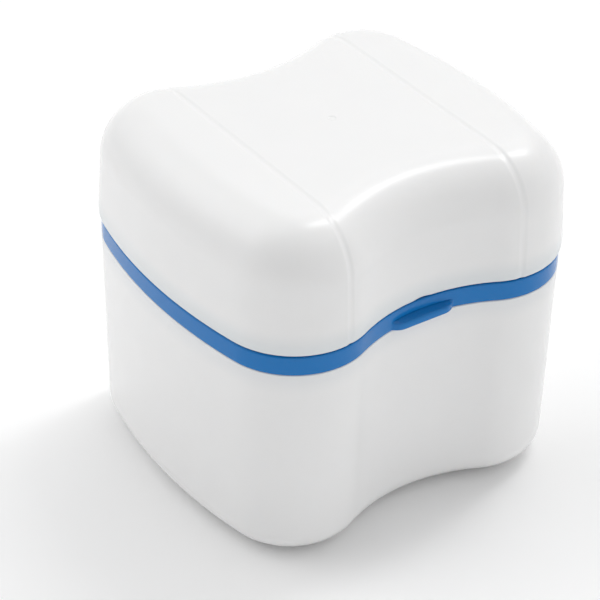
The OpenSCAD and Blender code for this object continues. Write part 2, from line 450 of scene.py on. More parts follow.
class PlanGrid:
    """Points round the outline, counter-clockwise from the right-hand middle."""

    def __init__(self, outline: Outline, columns: np.ndarray, corner_n: int, side_n: int) -> None:
        """Lays out the points.

        Args:
            outline: The plan outline.
            columns: Widths of the points in the right half of a waist, from the middle outwards.
            corner_n: Steps round each lobe.
            side_n: Steps along half of each side.
        """
        self.outline = outline
        a = outline.side_a
        turn = math.pi / 2 - a
        quarter = [(Part.SIDE.value, a * i / side_n) for i in range(side_n + 1)]
        quarter += [(Part.CORNER.value, a + turn * i / corner_n) for i in range(1, corner_n + 1)]
        across = np.concatenate([columns[::-1], -columns[1:]])
        half = [(kind, par, 1.0) for kind, par in quarter]
        half += [(Part.COLUMN.value, float(x), 1.0) for x in across]
        half += [(kind, par, -1.0) for kind, par in reversed(quarter)]
        back = [(*p, 1.0) for p in half]
        front = [(*p, -1.0) for p in reversed(half[1:-1])]
        self.kind, self.par, self.sx, self.sy = np.array(back + front).T
        self.half_n = len(half)
        self.n = len(self.kind)

    @classmethod
    def fine(cls, outline: Outline, groove_x: float, groove_w: float, tab_w: float) -> "PlanGrid":
        """Grid with close columns across the tab and both grooves.

        Args:
            outline: The plan outline.
            groove_x: Distance of the grooves from the middle.
            groove_w: Width of the grooves.
            tab_w: Width of the tab.

        Returns:
            The grid.
        """
        tab_end = tab_w / 2 + 0.6
        low, high = groove_x - groove_w, groove_x + groove_w
        tab = np.linspace(0, tab_end, 42)
        between = np.linspace(tab_end, low, 18)[1:-1]
        groove = np.linspace(low, high, 33)
        rest = np.linspace(high, outline.corner_x, 3)[1:-1]
        return cls(outline, np.concatenate([tab, between, groove, rest]), corner_n=34, side_n=14)

    @classmethod
    def plain(cls, outline: Outline) -> "PlanGrid":
        """Even grid for the pieces with no local detail."""
        return cls(outline, np.linspace(0, outline.corner_x, 41)[:-1], corner_n=28, side_n=12)

    def ring(self, off: np.ndarray | float, z: np.ndarray | float) -> np.ndarray:
        """Points of one ring, with one offset and height for all or one for each.

        Args:
            off: Distance outwards from the outline.
            z: Height.

        Returns:
            An (n, 3) array.
        """
        o, off = self.outline, np.broadcast_to(np.asarray(off, float), self.n)
        points = np.zeros((self.n, 3))
        arcs = ((Part.SIDE, o.side_x, 0.0, o.side_r), (Part.CORNER, o.corner_x, o.corner_y, o.corner_r))
        for part, x, y, r in arcs:
            on = self.kind == part.value
            points[on, 0] = (self.sx * (x + (r + off) * np.cos(self.par)))[on]
            points[on, 1] = (y + (r + off) * np.sin(self.par))[on]
        on = self.kind == Part.COLUMN.value
        points[on, 0] = self.par[on]
        points[on, 1] = o.columns_y(self.par[on], off[on])
        points[:, 1] *= self.sy
        points[:, 2] = z
        return points

    def rings(self, profile: Sequence[Point]) -> list[np.ndarray]:
        """One ring for each offset and height of a profile."""
        return [self.ring(o, z) for o, z in profile]

    def column_x(self) -> np.ndarray:
        """Width of each column point, and infinity at the other points."""
        return np.where(self.kind == Part.COLUMN.value, self.par, np.inf)

    def strips(self) -> list[list[int]]:
        """Faces from front to back across a flat ring, as indices of its points.

        Returns:
            The faces.
        """
        n, last = self.n, self.half_n - 2
        between = [[i, n - i, n - i - 1, i + 1] for i in range(1, last)]
        return [[0, n - 1, 1], *between, [last, n - last, last + 1]]


def rounded(corners: Sequence[Triple], steps: int = 5, closed: bool = False) -> list[Point]:
    """Profile through corners, each rounded by its own radius.

    Args:
        corners: Offset, height and radius of each corner.
        steps: Steps round each corner.
        closed: Whether the last corner joins the first.

    Returns:
        Profile points, with a point on the straight next to each rounding.
    """
    straight, most = 0.01, 0.46  # angle that needs no rounding, and share of a side that one may take
    step, share = 0.35, 0.04  # most that the points beside a rounding stand off, alone and as a share
    count = len(corners)
    out: list[Point] = []
    for i, (o, z, r) in enumerate(corners):
        here = np.array((o, z))
        before = np.array(corners[i - 1][:2]) - here
        after = np.array(corners[(i + 1) % count][:2]) - here
        lb, la = np.linalg.norm(before), np.linalg.norm(after)
        u, v = before / lb, after / la
        half = math.acos(float(np.clip(u @ v, -1, 1))) / 2
        is_end = not closed and i in (0, count - 1)
        if r <= 0 or is_end or half > math.pi / 2 - straight:
            out.append((o, z))
            continue
        reach = min(r / math.tan(half), most * lb, most * la)
        radius = reach * math.tan(half)
        centre = here + (u + v) / np.linalg.norm(u + v) * math.hypot(reach, radius)
        start, end = here + u * reach, here + v * reach
        hold = min(step, 0.3 * reach + 0.05)
        a0 = math.atan2(*(start - centre)[::-1])
        a1 = math.atan2(*(end - centre)[::-1])
        sweep = (a1 - a0 + math.pi) % (2 * math.pi) - math.pi
        out.append(tuple(start + u * min(hold, share * lb)))
        out += arc(*centre, radius, math.degrees(a0), math.degrees(a0 + sweep), steps)
        out.append(tuple(end + v * min(hold, share * la)))
    return out


def arc(o: float, z: float, r: float, start: float, end: float, steps: int) -> list[Point]:
    """Arc of a profile about a centre, between two angles in degrees from outwards."""
    angles = [math.radians(start + (end - start) * i / steps) for i in range(steps + 1)]
    return [(o + r * math.cos(a), z + r * math.sin(a)) for a in angles]


def slot_outline(width: float, length: float, steps: int = 10) -> list[Point]:
    """Round-ended slot with its length along the second axis, counter-clockwise.

    Args:
        width: Its width.
        length: Its length.
        steps: Points round each end.

    Returns:
        Points of the outline.
    """
    top = arc(0.0, (length - width) / 2, width / 2, 0, 180, steps - 1)
    low = [(-u, -v) for u, v in top]
    return top + low


def link_object(name: str, data: bpy.types.ID) -> bpy.types.Object:
    """Makes an object of a mesh, light or camera.

    Args:
        name: The object's name.
        data: What it holds.

    Returns:
        The object, linked to the scene.
    """
    made = bpy.data.objects.new(name, data)
    bpy.context.scene.collection.objects.link(made)
    return made


@contextmanager
def editing(mesh: bpy.types.Mesh) -> Iterator[bmesh.types.BMesh]:
    """Opens a mesh for editing and writes it back.

    Args:
        mesh: The mesh.

    Yields:
        Its editable copy.
    """
    bm = bmesh.new()
    bm.from_mesh(mesh)
    yield bm
    bm.to_mesh(mesh)
    bm.free()


def smooth(obj: bpy.types.Object, sharp: float) -> None:
    """Shades an object smooth, with its sharper edges left hard."""
    obj.data.shade_smooth()
    obj.data.set_sharp_from_angle(angle=math.radians(sharp))


def carve(obj: bpy.types.Object, cutter: bpy.types.Object, sharp: float) -> None:
    """Cuts one object out of another and removes the cutter.

    The many-sided faces that a cut leaves become triangles, and slivers with no area go.

    Args:
        obj: The object to cut.
        cutter: Closed mesh to take away.
        sharp: Edges that turn by more than this angle stay sharp, in degrees.
    """
    cut = obj.modifiers.new("cut", "BOOLEAN")
    cut.operation = "DIFFERENCE"
    cut.solver = "EXACT"
    cut.object = cutter
    graph = bpy.context.evaluated_depsgraph_get()
    made = bpy.data.meshes.new_from_object(obj.evaluated_get(graph))
    obj.modifiers.clear()
    old = obj.data
    obj.data = made
    bpy.data.meshes.remove(old)
    bpy.data.meshes.remove(cutter.data)
    with editing(made) as bm:
        bmesh.ops.triangulate(bm, faces=[face for face in bm.faces if len(face.verts) > 4])
        bmesh.ops.dissolve_degenerate(bm, dist=NO_LENGTH, edges=bm.edges)
    smooth(obj, sharp)


def join(obj: bpy.types.Object, other: bpy.types.Object) -> None:
    """Moves the mesh of another object into an object.

    Args:
        obj: The object that stays.
        other: The object that is taken in and removed.
    """
    with editing(obj.data) as bm:
        bm.from_mesh(other.data)
    bpy.data.meshes.remove(other.data)


class MeshBuilder:
    """Collects vertices and faces in millimetres and makes a smooth object of them."""

    def __init__(self) -> None:
        """Starts empty."""
        self.verts: list[np.ndarray] = []
        self.faces: list[list[int]] = []
        self.count = 0

    def skin(
        self, rings: Sequence[np.ndarray], closed: bool = False, end: Sequence[list[int]] | None = None
    ) -> None:
        """Skins closed loops of points.

        Args:
            rings: (n, 3) arrays with the same number of points.
            closed: Whether the last loop joins the first. Otherwise both ends get flat faces.
            end: Faces of a flat end, as indices of its points, or None for one face.
        """
        count, n = len(rings), len(rings[0])
        i = np.arange(n)
        k = (i + 1) % n
        faces: list[list[int]] = []
        for j in range(count if closed else count - 1):
            a, b = j * n, (j + 1) % count * n
            faces += np.stack([b + i, b + k, a + k, a + i], 1).tolist()
        if not closed:
            first = end or [list(range(n))]
            faces += [face[::-1] for face in first]
            faces += [[v + (count - 1) * n for v in face] for face in first]
        self.faces += [[self.count + v for v in face] for face in faces]
        self.verts += rings
        self.count += count * n

    def loft(self, grid: PlanGrid, rings: Sequence[np.ndarray], closed: bool = False) -> None:
        """Skins rings of plan points, with strips across the flat ends."""
        self.skin(rings, closed, grid.strips())

    def lathe_x(self, profile: Sequence[Point], y: float, z: float, steps: int = 40) -> None:
        """Revolves a closed profile about a line along X.

        Args:
            profile: Place along X and radius of each point.
            y: Depth of the line.
            z: Height of the line.
            steps: Steps round the turn.
        """
        x, r = np.array(profile).T
        angles = [2 * math.pi * s / steps for s in range(steps)]
        rings = [np.column_stack([x, y + r * math.cos(a), z + r * math.sin(a)]) for a in angles]
        self.skin(rings, closed=True)

    def bar_x(self, outline: Sequence[Point], x: float, width: float, edge: float) -> None:
        """Bar along X with rounded ends.

        Args:
            outline: Depth and height of each point of its section, counter-clockwise seen from +X.
            x: Middle of the bar.
            width: Length along X.
            edge: Radius of its end edges.
        """
        section = np.array(outline)
        before, after = np.roll(section, 1, 0) - section, np.roll(section, -1, 0) - section
        u = before / np.linalg.norm(before, axis=1, keepdims=True)
        v = after / np.linalg.norm(after, axis=1, keepdims=True)
        out = np.stack([v[:, 1] - u[:, 1], u[:, 0] - v[:, 0]], 1)
        out = out / np.maximum(np.linalg.norm(out, axis=1, keepdims=True), 1e-6)
        turn = np.linspace(0, math.pi / 2, 5)
        rings = []
        for side, a in [(-1, a) for a in turn] + [(1, a) for a in turn[::-1]]:
            place = x + side * (width / 2 - edge + edge * math.cos(a))
            inset = edge * (1 - math.sin(a))
            rings.append(np.column_stack([np.full(len(section), place), section - out * inset]))
        self.skin(rings)

    def object(self, name: str, sharp: float = SHARP) -> bpy.types.Object:
        """Makes the object.

        Args:
            name: Its name.
            sharp: Edges that turn by more than this angle stay sharp, in degrees.

        Returns:
            The linked object, in metres.
        """
        mesh = bpy.data.meshes.new(name)
        mesh.from_pydata((np.concatenate(self.verts) * MM).tolist(), [], self.faces)
        with editing(mesh) as bm:
            bmesh.ops.recalc_face_normals(bm, faces=bm.faces)
        made = link_object(name, mesh)
        smooth(made, sharp)
        return made


@dataclass(frozen=True)
class Sizes:
    """Sizes that more than one piece shares.

    Attributes:
        tub_h: Height of the tub's shoulder.
        band_gap: Gap between the shoulder and the band.
        band_h: Height of the band.
        seam: Gap between the band and the lid.
        lid_h: Height of the lid.
        skirt_t: Thickness of the band's skirt.
        ledge_t: Thickness of the ledge behind the band.
        tub_seal_h: Height of the lower seal.
        lid_seal_h: Height of the upper seal.
        collar_h: Height of the collar.
        overhang: How far the lid stands out past the band.
        lid_wall: Thickness of the lid.
        slide_gap: Gap on each side of the tub's lip.
        lip_t: Thickness of the tub's lip.
        collar_gap: Gap between the collar and the lid.
        collar_t: Thickness of the collar.
        knuckle_d: Diameter of the hinge knuckles.
        knuckle_in: Radius where the blocks that carry the knuckles end inside them.
        pin_d: Diameter of the hinge pin.
        lid_knuckle_w: Width of the lid's knuckle.
        side_knuckle_w: Width of each basket knuckle.
        knuckle_gap: Gap between knuckles.
        axis_in: How far the hinge axis lies inside the lobes' depth.
        axis_up: How far the hinge axis lies above the tub's shoulder.
        outline: The plan outline.
    """

    tub_h: float = 47.3
    band_gap: float = 0.1
    band_h: float = 4.2
    seam: float = 0.4
    lid_h: float = 25.3
    skirt_t: float = 1.5
    ledge_t: float = 1.4
    tub_seal_h: float = 0.8
    lid_seal_h: float = 1.4
    collar_h: float = 3.0
    overhang: float = 0.58
    lid_wall: float = 2.0
    slide_gap: float = 0.3
    lip_t: float = 1.5
    collar_gap: float = 0.6
    collar_t: float = 1.5
    knuckle_d: float = 4.36
    knuckle_in: float = 1.5
    pin_d: float = 1.8
    lid_knuckle_w: float = 8.0
    side_knuckle_w: float = 4.6
    knuckle_gap: float = 0.35
    axis_in: float = 1.6
    axis_up: float = 1.0
    outline: Outline = field(default_factory=Outline)

    @property
    def band_z(self) -> float:
        """Lower edge of the band."""
        return self.tub_h + self.band_gap

    @property
    def band_top(self) -> float:
        """Upper edge of the band."""
        return self.band_z + self.band_h

    @property
    def ledge_z(self) -> float:
        """Underside of the ledge."""
        return self.band_top - self.ledge_t

    @property
    def lip_z(self) -> float:
        """Top of the tub's lip."""
        return self.ledge_z - self.tub_seal_h

    @property
    def collar_z(self) -> float:
        """Top of the collar."""
        return self.band_top + self.collar_h

    @property
    def lid_z(self) -> float:
        """Lower edge of the lid."""
        return self.band_top + self.seam

    @property
    def lid_top(self) -> float:
        """Top of the lid."""
        return self.lid_z + self.lid_h

    @property
    def rest_z(self) -> float:
        """Underside of the ledge in the lid."""
        return self.collar_z + self.lid_seal_h

    @property
    def lip_out(self) -> float:
        """Outer face of the tub's lip."""
        return -self.skirt_t - self.slide_gap

    @property
    def lip_in(self) -> float:
        """Inner face of the tub's lip."""
        return self.lip_out - self.lip_t

    @property
    def collar_out(self) -> float:
        """Outer face of the collar."""
        return self.overhang - self.lid_wall - self.collar_gap

    @property
    def collar_in(self) -> float:
        """Inner face of the collar."""
        return self.collar_out - self.collar_t

    @property
    def hinge_y(self) -> float:
        """Depth of the hinge axis."""
        return self.outline.depth / 2 - self.axis_in

    @property
    def hinge_z(self) -> float:
        """Height of the hinge axis."""
        return self.tub_h + self.axis_up

    def knuckle(self, x: float, width: float, bore: float) -> list[Point]:
        """Profile of one knuckle with softened rims.

        Args:
            x: Middle of the knuckle.
            width: Its width.
            bore: Diameter of its hole.

        Returns:
            Closed profile of place along X and radius.
        """
        r, b, w = self.knuckle_d / 2, bore / 2, width / 2
        corners = [(x - w, b, 0.1), (x + w, b, 0.1), (x + w, r, 0.3), (x - w, r, 0.3)]
        return rounded(corners, 4, closed=True)


@dataclass
class Piece:
    """Base of the pieces.

    Attributes:
        sizes: Sizes that the pieces share.
        body: The body that the piece rides on.
        node: The CAD node that it stands for.
        slot: The record's material slot. It is not used.
    """

    sizes: Sizes
    body: Body
    node: str
    slot: Slot

    def dress(self, obj: bpy.types.Object, finish: Finish) -> bpy.types.Object:
        """Gives the piece its finish and puts it on its body.

        Args:
            obj: The piece.
            finish: The finish to give it.

        Returns:
            The piece.
        """
        obj.data.materials.clear()
        obj.data.materials.append(finish.material())
        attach(obj, self.body.value)
        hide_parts(self.node)
        return obj


@dataclass
class Tub(Piece):
    """White tub with a leaning wall, a raised lip and a standing rim.

    Attributes:
        wall: Wall thickness.
        floor: Floor thickness.
        draft: Inward lean of the wall.
        edge_r: Radius of the outer bottom edge.
        lip_root: Heights below the shoulder where the lip's root begins and ends.
        foot_h: Height of the standing rim.
        foot_w: Width of the standing rim.
        foot_in: How far the standing rim begins inside the bottom edge.
    """

    body: Body = Body.TUB
    node: str = "base_tub"
    slot: Slot = Slot.WHITE
    wall: float = 2.0
    floor: float = 2.2
    draft: float = 0.6
    edge_r: float = 6.0
    lip_root: Point = (4.0, 1.5)
    foot_h: float = 0.6
    foot_w: float = 2.6
    foot_in: float = 0.25

    def out(self, z: float) -> float:
        """Offset of the outer wall at a height."""
        return -self.draft * (1 - z / self.sizes.tub_h)

    def profile(self) -> list[Point]:
        """Profile from the inner floor over the lip to the standing rim.

        Returns:
            Profile points.
        """
        s = self.sizes
        floor_z = self.foot_h + self.floor
        inner_r = self.edge_r - self.floor / 2
        arc_z = floor_z + inner_r
        arc_o = self.out(arc_z) - self.wall - inner_r
        edge_z = self.foot_h + self.edge_r
        edge_o = self.out(edge_z) - self.edge_r
        root, neck = (s.tub_h - drop for drop in self.lip_root)
        rim = rounded([
            (arc_o + inner_r, arc_z, 0),
            (self.out(root) - self.wall, root, 1.2),
            (s.lip_in, neck, 1.2),
            (s.lip_in, s.lip_z, 0.3),
            (s.lip_out, s.lip_z, 0.3),
            (s.lip_out, s.tub_h, 0.15),
            (0.0, s.tub_h, 0.3),
            (self.out(edge_z), edge_z, 0),
        ])
        foot = rounded([
            (edge_o, self.foot_h, 0),
            (edge_o - self.foot_in, self.foot_h, 0.1),
            (edge_o - self.foot_in - 0.1, 0.0, 0.2),
            (edge_o - self.foot_w, 0.0, 0.2),
            (edge_o - self.foot_w - 0.2, self.foot_h, 0.2),
            (edge_o - self.foot_w - 1.5, self.foot_h, 0),
        ])
        floor = [(arc_o - 1.2, floor_z), *arc(arc_o, arc_z, inner_r, 270, 360, 14)]
        edge = arc(edge_o, edge_z, self.edge_r, 0, -90, 16)
        return floor + rim[1:-1] + edge + foot[1:]

    def build(self, grid: PlanGrid) -> bpy.types.Object:
        """Builds the tub.

        Args:
            grid: Plan grid of its rings.

        Returns:
            The tub's object.
        """
        made = MeshBuilder()
        made.loft(grid, grid.rings(self.profile()))
        return made.object("tub")


@dataclass
class Basket(Piece):
    """Blue strainer basket: the band, thumb tab, collar, slotted bowl and hinge knuckles.

    Attributes:
        wall: Thickness of the bowl.
        floor_z: Underside of the bowl.
        draft: Inward lean of the bowl.
        edge_r: Inner radius at the bowl's floor.
        root_h: How far the rim's root hangs below the ledge.
        overlap: How far the bowl reaches up into that root.
        slot_w: Width of the drain slots.
        slot_pitch: Distance between slots.
        slot_drop: How far the wall slots end below the tub's shoulder.
        floor_slot_l: Length of the floor slots.
        pin_gap: Play of the pin in the basket's knuckles.
        tab_w: Width of the tab.
        tab_reach: How far the tab stands out at its middle.
        tab_end_r: Radius of the tab's ends.
        tab_top: Height of the tab above the band's lower edge.
        tab_shelf: Height of the front of its sloping upper side.
        tab_flat: Share of the tab's reach that this side takes.
        tab_lip: Height of the tab's upright lip.
        tab_dent: Depth of the dish behind the band's face, under its upper edge.
        tab_full: Reach of the tab at which the dish has its full depth.
        tab_root: Offset behind which the rim's underside stays as it is.
        sharp: Edges of the bowl that turn by more than this angle stay sharp, in degrees.
    """

    body: Body = Body.BASKET
    node: str = "strainer_basket"
    slot: Slot = Slot.BLUE
    wall: float = 1.6
    floor_z: float = 8.2
    draft: float = 1.2
    edge_r: float = 4.0
    root_h: float = 2.2
    overlap: float = 0.3
    slot_w: float = 3.0
    slot_pitch: float = 6.0
    slot_drop: float = 4.0
    floor_slot_l: float = 13.0
    pin_gap: float = 0.04
    tab_w: float = 17.2
    tab_reach: float = 1.9
    tab_end_r: float = 3.8
    tab_top: float = 2.0
    tab_shelf: float = 1.45
    tab_flat: float = 0.74
    tab_lip: float = 0.65
    tab_dent: float = 0.4
    tab_full: float = 0.8
    tab_root: float = -0.45
    sharp: float = 35.0

    @property
    def out(self) -> float:
        """Outer face of the bowl at the ledge."""
        return self.sizes.lip_in - self.sizes.slide_gap

    def lean(self, z: float) -> float:
        """How far the bowl leans in at a height."""
        top = self.sizes.ledge_z
        return self.draft * (top - z) / (top - self.floor_z)

    def tab_plan(self, x: np.ndarray) -> np.ndarray:
        """How far the round-ended tab stands out.

        Args:
            x: Widths of the points, with infinity beside the waist.

        Returns:
            The reach at each point.
        """
        o, r = self.sizes.outline, self.tab_end_r
        inside = np.abs(x) < self.tab_w / 2
        wide = np.where(inside, np.abs(x), 0.0)
        over = np.clip(wide - self.tab_w / 2 + r, 0.0, r)
        front = o.back_y + self.tab_reach - r + np.sqrt(r**2 - over**2)
        face = o.columns_y(wide, np.zeros_like(wide))
        return np.where(inside, np.maximum(front - face, 0.0), 0.0)

    def tab_dish(self) -> list[Triple]:
        """Section of the tab from its upper edge to the lip.

        Returns:
            Height above the band's lower edge, share of the reach and share of the dent, point by point.
        """
        sunk = 0.05  # height in which the dish drops behind the band's face
        top, flat = self.tab_top - sunk, self.tab_flat
        shelf = [(top - (top - self.tab_shelf) * t, flat * t, 1 - t) for t in np.linspace(0, 1, 9)]
        turn = np.radians(np.linspace(12, 90, 16))
        drop = self.tab_lip + (self.tab_shelf - self.tab_lip) * np.cos(turn)
        push = flat + (1 - flat) * np.sin(turn)
        return [(self.tab_top, 0.0, 0.0), *shelf, *((z, p, 0.0) for z, p in zip(drop, push, strict=True))]

    def rim_profile(self) -> tuple[list[Point], list[Point]]:
        """Profile of the rim without the band's face.

        Returns:
            The collar side up to the face, and the skirt side on from the face's lower edge.
        """
        s = self.sizes
        low, high, root = s.band_z, s.band_top, s.ledge_z - self.root_h
        inside = rounded([
            (self.out - self.wall, root, 0),
            (self.out - self.wall, s.ledge_z - 1.0, 0.8),
            (s.collar_in, high, 0.8),
            (s.collar_in, s.collar_z, 0.3),
            (s.collar_out, s.collar_z, 0.4),
            (s.collar_out, high, 0.2),
            (0.0, high, 0.4),
            (0.0, high - 1.0, 0),
        ])
        under = rounded([
            (0.0, low + 0.3, 0),
            (0.0, low, 0.22),
            (-s.skirt_t, low, 0.2),
            (-s.skirt_t, s.ledge_z, 0.3),
            (self.out, s.ledge_z, 0.4),
            (self.out, root, 0),
        ])
        return inside[:-1], under[1:]

    def rim(self, grid: PlanGrid) -> MeshBuilder:
        """Builds the rim, with the tab pushed out of the band's face.

        Args:
            grid: Fine plan grid.

        Returns:
            The builder that holds it.
        """
        s = self.sizes
        tab = np.where(grid.sy < 0, self.tab_plan(grid.column_x()), 0.0)
        dent = self.tab_dent * np.minimum(tab / self.tab_full, 1.0)
        inside, under = self.rim_profile()
        face = np.linspace(s.band_top - 1.2, s.band_z + self.tab_top + 0.1, 4)
        rows = [(o, z, 0.0, 0.0) for o, z in inside]
        rows += [(0.0, z, 0.0, 0.0) for z in face]
        rows += [(0.0, s.band_z + z, push, sink) for z, push, sink in self.tab_dish()]
        rows += [(o, z, float(o > self.tab_root), 0.0) for o, z in under]
        rings = [grid.ring(o + tab * push - dent * sink, z) for o, z, push, sink in rows]
        made = MeshBuilder()
        made.loft(grid, rings, closed=True)
        return made

    def bowl(self, grid: PlanGrid) -> bpy.types.Object:
        """Builds the slotted bowl.

        Args:
            grid: Plain plan grid.

        Returns:
            The bowl's object.
        """
        out_r = self.edge_r + self.wall
        arc_z = self.floor_z + out_r
        arc_o = self.out - self.lean(arc_z) - out_r
        top = self.sizes.ledge_z - self.root_h + self.overlap
        wall = self.out - self.lean(top)
        floor = [(arc_o - 1.0, self.floor_z + self.wall), *arc(arc_o, arc_z, self.edge_r, 270, 360, 12)]
        under = [*arc(arc_o, arc_z, out_r, 0, -90, 12), (arc_o - 1.0, self.floor_z)]
        made = MeshBuilder()
        made.loft(grid, grid.rings([*floor, (wall - self.wall, top), (wall, top), *under]))
        bowl = made.object("bowl", self.sharp)
        for cutter in self.cutters():
            carve(bowl, cutter, self.sharp)
        return bowl

    def stops(self, room: float) -> list[float]:
        """Places of a row of slots that fills the room on each side of the middle."""
        n = int(room // self.slot_pitch)
        return [i * self.slot_pitch for i in range(-n, n + 1)]

    def cutters(self) -> list[bpy.types.Object]:
        """Makes the cutters of the drain slots.

        Returns:
            The cutters of the front and back, of the left and right, and of the floor.
        """
        o, past = self.sizes.outline, 2.0
        low, high = self.floor_z + 2 * self.edge_r, self.sizes.tub_h - self.slot_drop
        upright = slot_outline(self.slot_w, high - low)
        flat = slot_outline(self.slot_w, self.floor_slot_l)
        mid, level = (low + high) / 2, self.floor_z + self.wall / 2
        row = (self.floor_slot_l + self.slot_w) / 2
        along_y = Matrix(((1, 0, 0, 0), (0, 0, -1, 0), (0, 1, 0, mid), (0, 0, 0, 1)))
        along_x = Matrix(((0, 0, 1, 0), (1, 0, 0, 0), (0, 1, 0, mid), (0, 0, 0, 1)))
        walls = [Matrix.Translation((x, 0, 0)) @ along_y for x in self.stops(o.corner_x - self.slot_w)]
        ends = [Matrix.Translation((0, y, 0)) @ along_x for y in self.stops(o.corner_y - self.slot_w)]
        spots = [(x, y, level) for x in self.stops(o.corner_x + 1) for y in (-row, row)]
        drains = [Matrix.Translation(spot) for spot in spots]
        return [
            self.prisms("wall_slots", upright, o.depth / 2 + past, walls),
            self.prisms("end_slots", upright, o.width / 2 + past, ends),
            self.prisms("floor_slots", flat, self.wall + 1.0, drains),
        ]

    @staticmethod
    def prisms(
        name: str, section: Sequence[Point], reach: float, places: Sequence[Matrix]
    ) -> bpy.types.Object:
        """Makes one object of several prisms.

        Args:
            name: Its name.
            section: Section of each prism.
            reach: Half of each prism's length.
            places: Where each prism stands.

        Returns:
            The object.
        """
        made = MeshBuilder()
        for place in places:
            made.skin([np.array([place @ Vector((*p, w)) for p in section]) for w in (-reach, reach)])
        return made.object(name)

    def knuckles(self, made: MeshBuilder) -> None:
        """Adds both knuckles and the blocks that carry them.

        Args:
            made: The builder that takes them.
        """
        s = self.sizes
        inset, sunk = 0.02, 0.1  # how far the blocks lie inside the knuckles and reach into the band
        root, low, top = s.outline.back_y - sunk, s.band_z + inset, s.hinge_z + s.knuckle_d / 2 - inset
        ring = arc(s.hinge_y, s.hinge_z, s.knuckle_in, 216, 90, 10)
        block = [(s.hinge_y, top), (root, top), (root, low), (s.hinge_y - 1.0, low), *ring]
        for side in (-1, 1):
            x = side * ((s.lid_knuckle_w + s.side_knuckle_w) / 2 + s.knuckle_gap)
            made.lathe_x(s.knuckle(x, s.side_knuckle_w, s.pin_d + self.pin_gap), s.hinge_y, s.hinge_z)
            made.bar_x(block, x, s.side_knuckle_w, edge=0.3)

    def build(self, fine: PlanGrid, plain: PlanGrid) -> bpy.types.Object:
        """Builds the basket.

        Args:
            fine: Grid of the rim.
            plain: Grid of the bowl.

        Returns:
            The basket's object.
        """
        made = self.rim(fine)
        self.knuckles(made)
        basket = made.object("strainer")
        join(basket, self.bowl(plain))
        return basket


